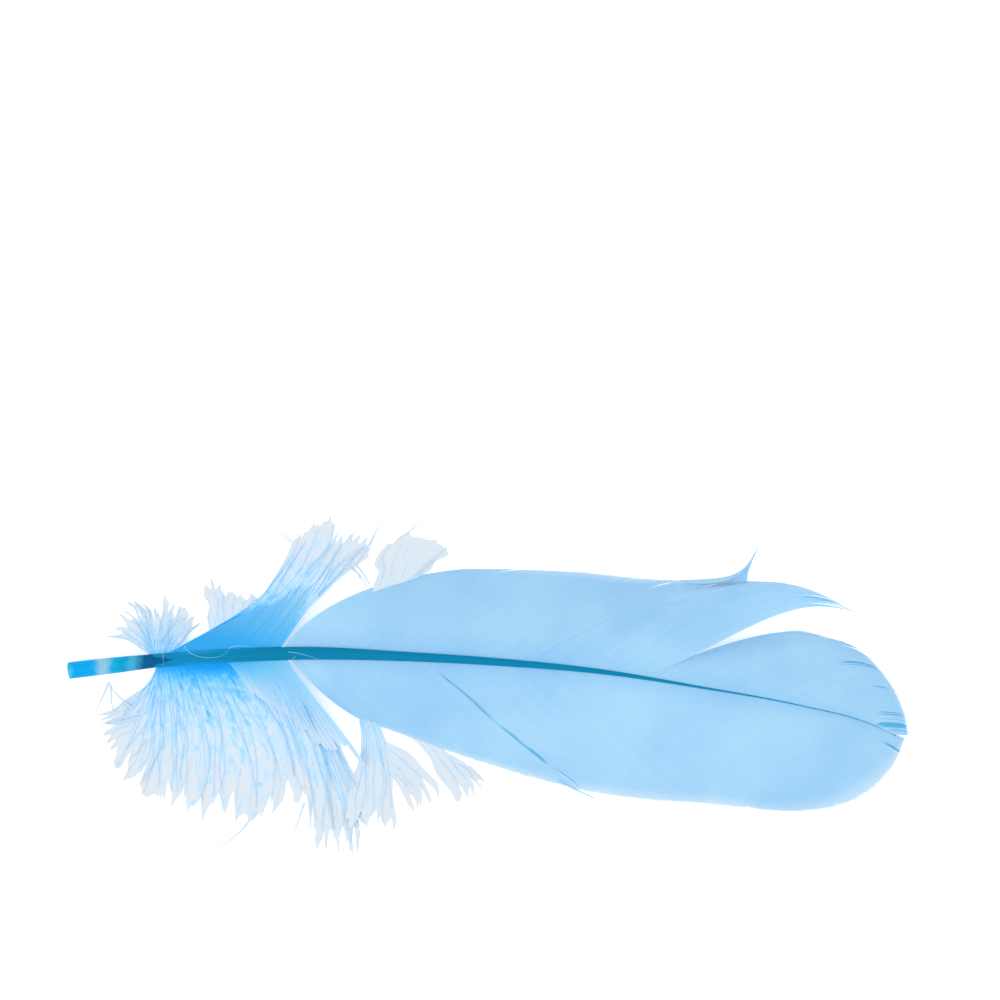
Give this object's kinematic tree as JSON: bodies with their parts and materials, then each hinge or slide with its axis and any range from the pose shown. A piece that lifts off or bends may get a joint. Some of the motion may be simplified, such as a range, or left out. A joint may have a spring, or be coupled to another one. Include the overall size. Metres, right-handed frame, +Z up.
{
  "type": "hat feather",
  "caption": "Dyed goose feather for a hat: hollow cut quill, arched tapering shaft, webbed vanes that split near the base and the tip, and loose down around the base.",
  "frame": {"origin": "middle of the feather's footprint, on the surface it lies on", "axes": "+X from the cut end of the quill to the tip, +Y towards the vane that is split near the tip, +Z up from the surface, out of the feather's back"},
  "size_m": [0.1502, 0.0605, 0.0074],
  "materials": {
    "vane": "soft matt keratin barbs hooked into a web, dyed pale blue, a little light passes through",
    "shaft": "smooth satin keratin, dyed deep turquoise blue, paler at the cut end of the quill",
    "down": "loose fine barbs with free barbules, dyed blue near the shaft and nearly white at the ends"
  },
  "bodies": {
    "root": {"feather": "vane"}
  },
  "joints": []
}
